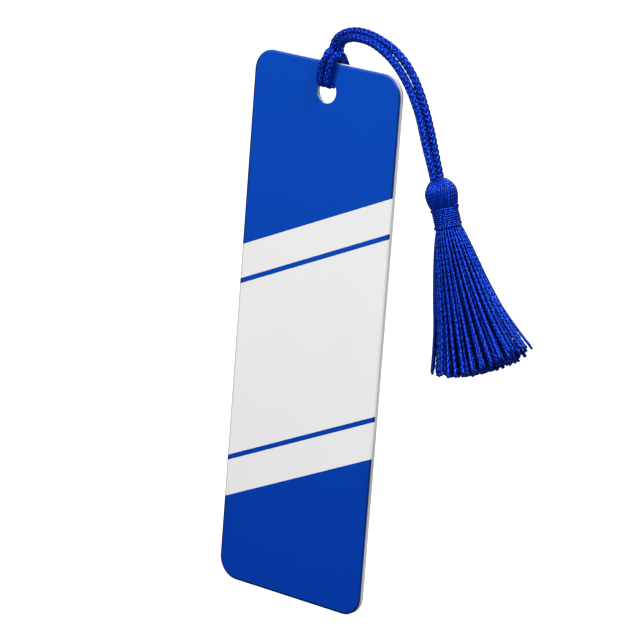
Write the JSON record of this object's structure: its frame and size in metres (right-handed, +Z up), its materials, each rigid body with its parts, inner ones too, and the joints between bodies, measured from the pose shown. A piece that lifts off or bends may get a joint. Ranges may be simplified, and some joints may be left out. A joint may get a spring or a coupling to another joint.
{
  "type": "tassel bookmark",
  "caption": "Flat card with rounded corners that marks a page, with a doubled cord hitched through a hole near its top edge and a thread-bound yarn tassel hanging from the cord.",
  "frame": {"origin": "middle of the card's bottom edge, half-way through its thickness", "axes": "+Z up the card to the hitch, +X across the card to the side where the tassel hangs, +Y from the printed front to the back"},
  "size_m": [0.095, 0.0234, 0.1606],
  "materials": {
    "board": "plain cut board",
    "front_print": "satin print, royal blue with a pale field",
    "back_print": "satin, pale",
    "cord": "braided cord, royal blue",
    "yarn": "twisted glossy yarn, royal blue",
    "thread": "wound thread, royal blue"
  },
  "bodies": {
    "card": {"card_core": "board", "front_sheet": "front_print", "back_sheet": "back_print", "cord_hitch": "cord"},
    "cord": {"cord_tail_outer": "cord", "cord_tail_inner": "cord"},
    "knot": {"stopper_knot": "cord"},
    "tassel": {"tassel_head": "yarn", "neck_binding": "thread", "tassel_skirt": "yarn"}
  },
  "joints": [
    {"name": "cord_flop", "type": "hinge", "parent": "card", "child": "cord", "pos_m": [0, 0.00202, 0.152], "axis": [1, 0, 0], "range_deg": [-75, 75], "deforming": ["cord_tail_outer", "cord_tail_inner"]},
    {"name": "tassel_swing", "type": "hinge", "parent": "cord", "child": "knot", "pos_m": [0.0372, 0.0023, 0.1248], "axis": [0, 1, 0], "range_deg": [-40, 16], "deforming": ["cord_tail_outer", "cord_tail_inner"]},
    {"name": "tassel_twist", "type": "hinge", "parent": "knot", "child": "tassel", "pos_m": [0.0372, 0.0023, 0.1248], "axis": [0.3665, 0, -0.9304], "range_deg": [-180, 180]}
  ]
}
